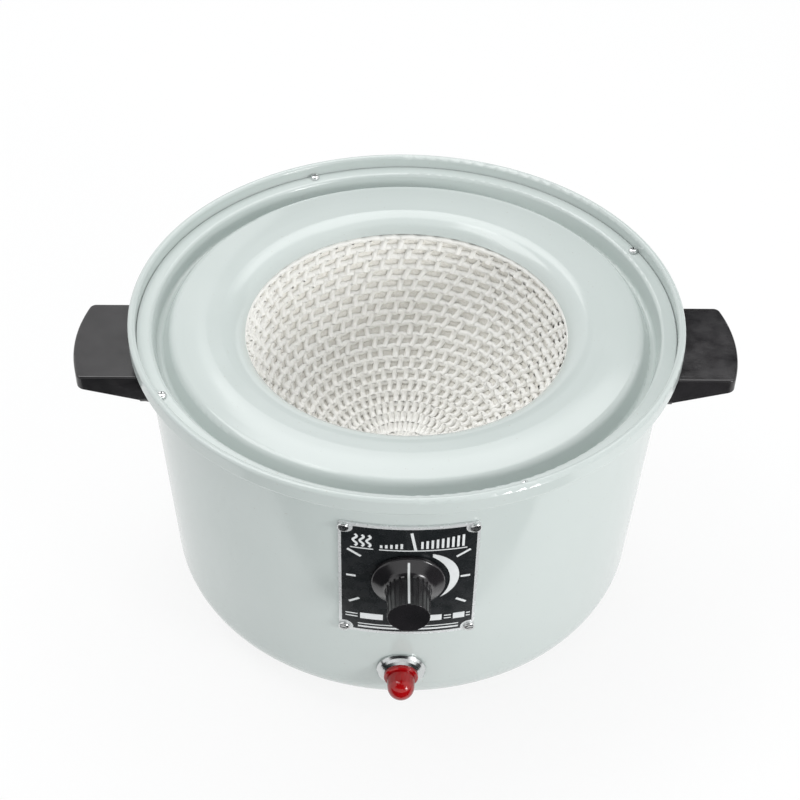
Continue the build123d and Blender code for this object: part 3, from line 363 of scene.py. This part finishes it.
def tube(path, radii, sides, side_axis, lobes, lobe_depth, twist, closed=False):
    """Points of a lobed tube along path, whose lobes turn by twist from point to point.
    side_axis gives one direction across it at each point."""
    path = np.asarray(path, float)
    ahead = np.roll(path, -1, 0) - np.roll(path, 1, 0)
    if not closed:
        ahead[0], ahead[-1] = path[1] - path[0], path[-1] - path[-2]
    ahead /= np.linalg.norm(ahead, axis=1)[:, None]
    across = side_axis - ahead * np.sum(side_axis * ahead, 1)[:, None]
    across /= np.linalg.norm(across, axis=1)[:, None]
    up = np.cross(ahead, across)
    turn = tau * np.arange(sides) / sides
    run = np.arange(len(path))[:, None]
    swell = 1 + lobe_depth * np.cos(lobes * turn[None, :] - twist * run)
    radius = np.asarray(radii, float).reshape(-1, 1) * swell
    ring = across[:, None] * np.cos(turn)[None, :, None] + up[:, None] * np.sin(turn)[None, :, None]
    return (path[:, None] + ring * radius[:, :, None]).reshape(-1, 3)


# ---------------------------------------------------------------- knitted well
basket_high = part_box("heating_basket")[1]
WELL_RADIUS = 67.0 * MM
WELL_COLLAR = 5.8 * MM
ROW_COUNT = 21
COLUMN_COUNT = 52
# The first cord's middle lies this share of a row below the well's edge.
FIRST_ROW = 0.25
SKIN = 1.0 * MM

# Cords: rings of three-ply yarn, one a row, that swell and shift where the ribs cross them.
CORD_RADIUS = 1.45 * MM
CORD_SIDES = 10
CORD_PLIES = 3
CORD_PLY_DEPTH = 0.10
CORD_TWIST_STEPS = 5.0
CORD_STEP = 1.0 * MM
CORD_LEAST_STEPS = 48
CORD_SWELL = 0.08
CORD_PULL = 0.22 * MM
CORD_WOBBLE = 0.12 * MM
CORD_WOBBLE_WAVES = 4
WOBBLE_PER_TURN = 3

# Ribs: short stretches of yarn from one cord to the next. Those of even and odd rows lean by
# these shares of a column, start half a column apart, and drift a little with each row.
RIB_RADIUS = 1.15 * MM
RIB_STEPS = 7
RIB_SIDES = 8
RIB_PLIES = 2
RIB_PLY_DEPTH = 0.12
RIB_TWIST = 1.1
RIB_LEANS = 0.22, 0.34
RIB_STAGGER = 0.5
RIB_DRIFT = 0.06
RIB_PLACE_SPREAD = 0.05
RIB_LEAN_SPREAD = 0.08
RIB_OVERRUN = 0.06
RIB_END_SWELL = 0.25
RIB_THINNEST, RIB_THICKEST = 0.9, 1.15
# Depth of a rib's middle behind the crests, in millimetres: at its ends, more at its half, and
# drawn from one rib to the next.
RIB_END_DEPTH, RIB_SAG, RIB_DEPTH_SPREAD = 0.45, 0.75, 0.2

# Cloth that closes the pockets between the cords.
POCKET_DEPTH = 2.7 * MM
POCKET_CROWN = 0.9 * MM
CLOTH_AROUND = 260
CLOTH_PER_ROW = 8
well_centre = basket_high.z - WELL_COLLAR
well_length = WELL_COLLAR + WELL_RADIUS * pi / 2
row_pitch = well_length / ROW_COUNT


def well_surface(length, azimuth, depth):
    """Points of the well at a length down from its top edge and a depth behind its crests."""
    length, azimuth, depth = np.broadcast_arrays(length, azimuth, depth)
    angle = np.maximum(0.0, length - WELL_COLLAR) / WELL_RADIUS
    reach = WELL_RADIUS + depth
    radius = reach * np.cos(angle)
    z = np.where(length < WELL_COLLAR, basket_high.z - length, well_centre - reach * np.sin(angle))
    return np.stack([radius * np.cos(azimuth), radius * np.sin(azimuth), z], -1)


def waves(azimuth, count, size):
    """Smooth closed wobble round the well, made of a few waves with drawn phases."""
    total = np.zeros_like(azimuth)
    for harmonic in range(1, count + 1):
        turns = harmonic * WOBBLE_PER_TURN
        total += size / sqrt(harmonic) * np.sin(turns * azimuth + rng.uniform(0, tau))
    return total


def crest_length(row, azimuth, wobble):
    """Length down the well of one cord's middle, pulled up and down where the ribs cross."""
    pull = CORD_PULL * np.sin(COLUMN_COUNT * azimuth + pi * row)
    return (row + FIRST_ROW) * row_pitch + pull + wobble


points, faces, offset = [], [], 0
for row in range(ROW_COUNT):
    below_collar = max(0.0, (row + FIRST_ROW) * row_pitch - WELL_COLLAR)
    radius_here = WELL_RADIUS * cos(below_collar / WELL_RADIUS)
    steps = max(CORD_LEAST_STEPS, int(tau * radius_here / CORD_STEP))
    azimuth = tau * np.arange(steps) / steps
    wobble = waves(azimuth, CORD_WOBBLE_WAVES, CORD_WOBBLE)
    length = crest_length(row, azimuth, wobble)
    middle = well_surface(length, azimuth, CORD_RADIUS)
    outward = well_surface(length, azimuth, CORD_RADIUS + SKIN) - middle
    radii = CORD_RADIUS * (1 + CORD_SWELL * np.sin(COLUMN_COUNT * 2 * azimuth))
    twist = CORD_PLIES * (tau * round(steps / CORD_TWIST_STEPS) / steps)
    points.append(
        tube(middle, radii, CORD_SIDES, outward, CORD_PLIES, CORD_PLY_DEPTH, twist, closed=True)
    )
    faces.append(grid_faces(steps, CORD_SIDES, closed=True) + offset)
    offset += steps * CORD_SIDES
cord_points, cord_faces = np.concatenate(points), np.concatenate(faces)
cords = new_piece("basket_cords", cord_points, cord_faces, MATERIALS["glass_cord"])
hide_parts("heating_basket")

points, faces, offset = [], [], 0
for row in range(ROW_COUNT - 2):
    odd = row % 2
    for column in range(COLUMN_COUNT):
        shift = RIB_STAGGER * odd + RIB_DRIFT * row
        start = (column + shift + rng.normal(0, RIB_PLACE_SPREAD)) * tau / COLUMN_COUNT
        end = start + (RIB_LEANS[odd] + rng.normal(0, RIB_LEAN_SPREAD)) * tau / COLUMN_COUNT
        share = np.linspace(-RIB_OVERRUN, 1 + RIB_OVERRUN, RIB_STEPS)
        azimuth = start + (end - start) * share
        length = (row + FIRST_ROW + share) * row_pitch
        sag = np.sin(np.clip(share, 0, 1) * pi)
        depth = (RIB_END_DEPTH + RIB_SAG * sag + rng.uniform(0, RIB_DEPTH_SPREAD)) * MM
        middle = well_surface(length, azimuth, depth)
        outward = well_surface(length, azimuth, depth + SKIN) - middle
        girth = rng.uniform(RIB_THINNEST, RIB_THICKEST)
        radii = RIB_RADIUS * (1.0 + RIB_END_SWELL * (1 - sag)) * girth
        points.append(tube(middle, radii, RIB_SIDES, outward, RIB_PLIES, RIB_PLY_DEPTH, RIB_TWIST))
        faces.append(grid_faces(RIB_STEPS, RIB_SIDES) + offset)
        offset += RIB_STEPS * RIB_SIDES
rib_points, rib_faces = np.concatenate(points), np.concatenate(faces)
new_piece("basket_ribs", rib_points, rib_faces, MATERIALS["glass_cord"])

rows_down = ROW_COUNT * CLOTH_PER_ROW
length = np.linspace(0, well_length, rows_down + 1)[:, None]
azimuth = (tau * np.arange(CLOTH_AROUND) / CLOTH_AROUND)[None, :]
phase = np.mod(length / row_pitch - FIRST_ROW, 1.0)
crown = POCKET_CROWN * (1 - (2 * phase - 1) ** 2)
cloth = well_surface(length, azimuth, POCKET_DEPTH - crown)
new_piece(
    "basket_cloth",
    cloth.reshape(-1, 3),
    grid_faces(rows_down + 1, CLOTH_AROUND),
    glass_cloth(),
)

# ---------------------------------------------------------------- print on the plate
# The plate's face leans back by this much for each unit that it falls.
PLATE_SLOPE = 0.0623
PRINT_FOOT, PRINT_TOP = 0.02 * MM, 0.14 * MM


def printed_stroke(line, width):
    """Thin closed stroke of paint along a line of (x, z) in millimetres on the plate."""
    line = np.asarray(line, float)
    ahead = np.gradient(line, axis=0)
    ahead /= np.linalg.norm(ahead, axis=1)[:, None]
    side = np.stack([-ahead[:, 1], ahead[:, 0]], -1) * width / 2
    edges = np.stack([line + side, line - side, line - side, line + side], 1) * MM
    lift = np.array([PRINT_TOP, PRINT_TOP, PRINT_FOOT, PRINT_FOOT])[None, :]
    x, z = edges[..., 0], edges[..., 1]
    reach = -PLATE_LOW.y - PLATE_SLOPE * (PLATE_HIGH.z - z) + lift
    points = np.stack([x, -np.sqrt(reach**2 - x**2), z], -1).reshape(-1, 3)
    last = len(points) - 4
    sides = [list(f) for f in grid_faces(len(line), 4)]
    return points, sides + [[3, 2, 1, 0], [last, last + 1, last + 2, last + 3]]


def straight(x0, z0, x1, z1, steps):
    """Even points of a straight stroke."""
    return np.stack([np.linspace(x0, x1, steps), np.linspace(z0, z1, steps)], -1)


# Places and widths of the print, in millimetres from the plate's middle and the pot's foot.
TITLE_LOW, TITLE_HIGH = 108.6, 115.2
TITLE_RULE_Z = TITLE_LOW - 1.1
TITLE_RULE_WIDTH = 0.5
HEAT_WAVES_X = -20.6, -18.0, -15.4
HEAT_WAVE_SWING, HEAT_WAVE_PITCH = 0.75, 4.4
HEAT_WAVE_STEPS = 19
HEAT_RULE_X = -22.4, -13.6
BAR_FIRST_X, BAR_LAST_X, BAR_PITCH = -10.6, 22.0, 1.95
BAR_FIRST_HEIGHT, BAR_RISE = 1.6, 0.31
BAR_RULE_X = -11.4, 22.2
TITLE_STROKE_WIDTH = 0.95
# The scale's middle tick rises into the bars' row, which leaves it this room on each side.
TICK_X, TICK_ROOM = 1.2, 2.2
CAPTIONS_X = (-24.4, -19.6), (14.6, 17.4), (23.4, 25.0)
CAPTION_LINES_Z = 65.5, 67.2
CAPTION_WIDTH = 0.55
FOOT_RULE_X = -19.5, 20.5
FOOT_RULES = (61.4, 0.5), (59.6, 0.9)


def level(reach, z, steps=12):
    """Even points of a level stroke between two places across the plate."""
    return straight(reach[0], z, reach[1], z, steps)


strokes = []
for x in HEAT_WAVES_X:
    z = np.linspace(TITLE_LOW, TITLE_HIGH, HEAT_WAVE_STEPS)
    swing = HEAT_WAVE_SWING * np.sin((z - TITLE_LOW) * tau / HEAT_WAVE_PITCH)
    strokes.append((np.stack([x + swing, z], -1), TITLE_STROKE_WIDTH))
strokes.append((level(HEAT_RULE_X, TITLE_RULE_Z), TITLE_RULE_WIDTH))
for count, x in enumerate(np.arange(BAR_FIRST_X, BAR_LAST_X, BAR_PITCH)):
    if abs(x - TICK_X) > TICK_ROOM:
        top = TITLE_LOW + BAR_FIRST_HEIGHT + BAR_RISE * count
        strokes.append((straight(x, TITLE_LOW, x, top, 5), TITLE_STROKE_WIDTH))
strokes.append((level(BAR_RULE_X, TITLE_RULE_Z, 24), TITLE_RULE_WIDTH))
for reach in CAPTIONS_X:
    for z in CAPTION_LINES_Z:
        strokes.append((level(reach, z, 6), CAPTION_WIDTH))
for z, width in FOOT_RULES:
    strokes.append((level(FOOT_RULE_X, z, 30), width))
points, faces, offset = [], [], 0
for line, width in strokes:
    some, quads = printed_stroke(line, width)
    points.append(some)
    faces += [[corner + offset for corner in quad] for quad in quads]
    offset += len(some)
print_points = np.concatenate(points)
new_piece("plate_print", print_points, faces, MATERIALS["mark_white"], smooth=False)

# ---------------------------------------------------------------- camera
# Focal length and target place are in pixels of the square picture, angles in degrees.
FOCAL = 1700.0
SENSOR_WIDTH = 36.0
CAMERA_DISTANCE = 724.3 * MM
CAMERA_ELEVATION = 39.98
CAMERA_AZIMUTH = -1.5
CAMERA_ROLL = 1.31
TARGET = Vector((0, 0, 109.5 * MM))
TARGET_PIXEL = (405.06, 363.2)


def place_camera():
    """Camera at the photograph's viewing angle, with the target at its pixel."""
    lift, turn = radians(CAMERA_ELEVATION), radians(CAMERA_AZIMUTH)
    back = Vector((sin(turn) * cos(lift), -cos(turn) * cos(lift), sin(lift)))
    right = Vector((cos(turn), sin(turn), 0))
    ahead = -back
    up = right.cross(ahead)
    across = Matrix.Rotation(atan((TARGET_PIXEL[0] - IMAGE / 2) / FOCAL), 3, up)
    ahead, right = across @ ahead, across @ right
    down = Matrix.Rotation(atan((TARGET_PIXEL[1] - IMAGE / 2) / FOCAL), 3, right)
    ahead, up = down @ ahead, down @ up
    roll = radians(CAMERA_ROLL)
    rolled_right = right * cos(roll) + up * sin(roll)
    rolled_up = up * cos(roll) - right * sin(roll)
    data = bpy.data.cameras.new("camera")
    data.sensor_width = SENSOR_WIDTH
    data.lens = FOCAL / IMAGE * data.sensor_width
    camera = bpy.data.objects.new("camera", data)
    turned = Matrix((rolled_right, rolled_up, -ahead)).transposed().to_4x4()
    camera.matrix_world = Matrix.Translation(TARGET + back * CAMERA_DISTANCE) @ turned
    bpy.context.scene.collection.objects.link(camera)
    bpy.context.scene.camera = camera


place_camera()

# ---------------------------------------------------------------- studio


WHITE = (1.0, 1.0, 1.0, 1.0)
DOME_COLOUR = (0.97, 0.985, 1.0, 1.0)
DOME_STRENGTH = 0.58
FLOOR_HALF = 4.0
FLOOR_DROP = 0.02 * MM
# Share of plain white in what the eye and the reflections see of the floor.
FLOOR_WHITE = 0.85
CARD_COLOUR = (0.9, 0.95, 1, 1)
CARD_STRENGTH = 0.03

# Corners of the dark cards: one on the floor before the pot, one above and behind the camera,
# one behind the pot.
DARK_CARDS = {
    "front_flag": [(-1.2, -2.4, 0.001), (1.2, -2.4, 0.001), (1.2, -0.14, 0.001), (-1.2, -0.14, 0.001)],
    "skirt_flag": [(-1.6, -1.2, 0.9), (1.1, -1.9, 0.9), (1.1, -1.0, 2.4), (-1.6, -0.7, 2.4)],
    "back_flag": [(-0.25, 1.5, 0.55), (1.9, 1.5, 0.55), (1.9, 1.9, 2.2), (-0.25, 1.9, 2.2)],
}


def softbox(name, azimuth, elevation, distance, size, power, mirrored=True):
    """Square soft light aimed at the pot. Azimuth is measured from +X towards +Y."""
    a, e = radians(azimuth), radians(elevation)
    away = Vector((cos(a) * cos(e), sin(a) * cos(e), sin(e)))
    data = bpy.data.lights.new(name, "AREA")
    data.shape = "SQUARE"
    data.size = size
    data.energy = power
    light = bpy.data.objects.new(name, data)
    light.location = TARGET + away * distance
    light.visible_glossy = mirrored
    light.rotation_mode = "QUATERNION"
    light.rotation_quaternion = (-away).to_track_quat("-Z", "Y")
    bpy.context.scene.collection.objects.link(light)


def seen_ray(tree):
    """1 for camera, glossy and transmission rays, 0 for the others."""
    path = node(tree, "ShaderNodeLightPath").outputs
    direct = maths(tree, "MAXIMUM", path["Is Camera Ray"], path["Is Glossy Ray"])
    return maths(tree, "MAXIMUM", direct, path["Is Transmission Ray"])


def studio_world():
    """White surroundings to the eye, and a softer dome for the light they give."""
    world = bpy.data.worlds.new("studio")
    world.use_nodes = True
    tree = world.node_tree
    tree.nodes.clear()
    lit = node(tree, "ShaderNodeBackground", {"Color": DOME_COLOUR, "Strength": DOME_STRENGTH})
    seen = node(tree, "ShaderNodeBackground", {"Color": WHITE, "Strength": 1.0})
    mix = node(tree, "ShaderNodeMixShader", {0: seen_ray(tree), 1: lit.outputs[0], 2: seen.outputs[0]})
    node(tree, "ShaderNodeOutputWorld", {"Surface": mix.outputs[0]})
    bpy.context.scene.world = world


def floor():
    """Pale floor that keeps the pot's shadow."""
    half = FLOOR_HALF
    corners = [(-half, -half, 0), (half, -half, 0), (half, half, 0), (-half, half, 0)]
    mesh = bpy.data.meshes.new("floor")
    mesh.from_pydata(corners, [], [(0, 1, 2, 3)])
    piece = bpy.data.objects.new("floor", mesh)
    piece.location.z = -FLOOR_DROP
    bpy.context.scene.collection.objects.link(piece)
    made, tree, shader = new_material("floor")
    set_inputs(tree, shader, Base_Color=(0.88, 0.88, 0.88), Roughness=0.8)
    glow = node(tree, "ShaderNodeEmission", {"Color": WHITE, "Strength": 1.0})
    share = maths(tree, "MULTIPLY", seen_ray(tree), FLOOR_WHITE)
    mix = node(tree, "ShaderNodeMixShader", {0: share, 1: shader.outputs[0], 2: glow.outputs[0]})
    tree.links.new(mix.outputs[0], tree.nodes["Material Output"].inputs["Surface"])
    mesh.materials.append(made)


def flag(name, corners):
    """Dark card that only reflections see."""
    mesh = bpy.data.meshes.new(name)
    mesh.from_pydata(corners, [], [(0, 1, 2, 3)])
    piece = bpy.data.objects.new(name, mesh)
    bpy.context.scene.collection.objects.link(piece)
    made, tree, _ = new_material(name)
    dark = node(tree, "ShaderNodeEmission", {"Color": CARD_COLOUR, "Strength": CARD_STRENGTH})
    tree.links.new(dark.outputs[0], tree.nodes["Material Output"].inputs["Surface"])
    mesh.materials.append(made)
    piece.visible_camera = False
    piece.visible_diffuse = False
    piece.visible_shadow = False
    piece.visible_transmission = False


softbox("key", azimuth=-43, elevation=16, distance=1.1, size=0.28, power=3.9)
softbox("top_back", azimuth=80, elevation=62, distance=1.3, size=0.9, power=6.0)
softbox("top_left", azimuth=165, elevation=62, distance=1.3, size=0.7, power=5.0)
softbox("front_fill", azimuth=-85, elevation=18, distance=1.6, size=0.9, power=3.0, mirrored=False)
for name, corners in DARK_CARDS.items():
    flag(name, corners)
studio_world()
floor()
bpy.context.scene.view_settings.view_transform = "Standard"
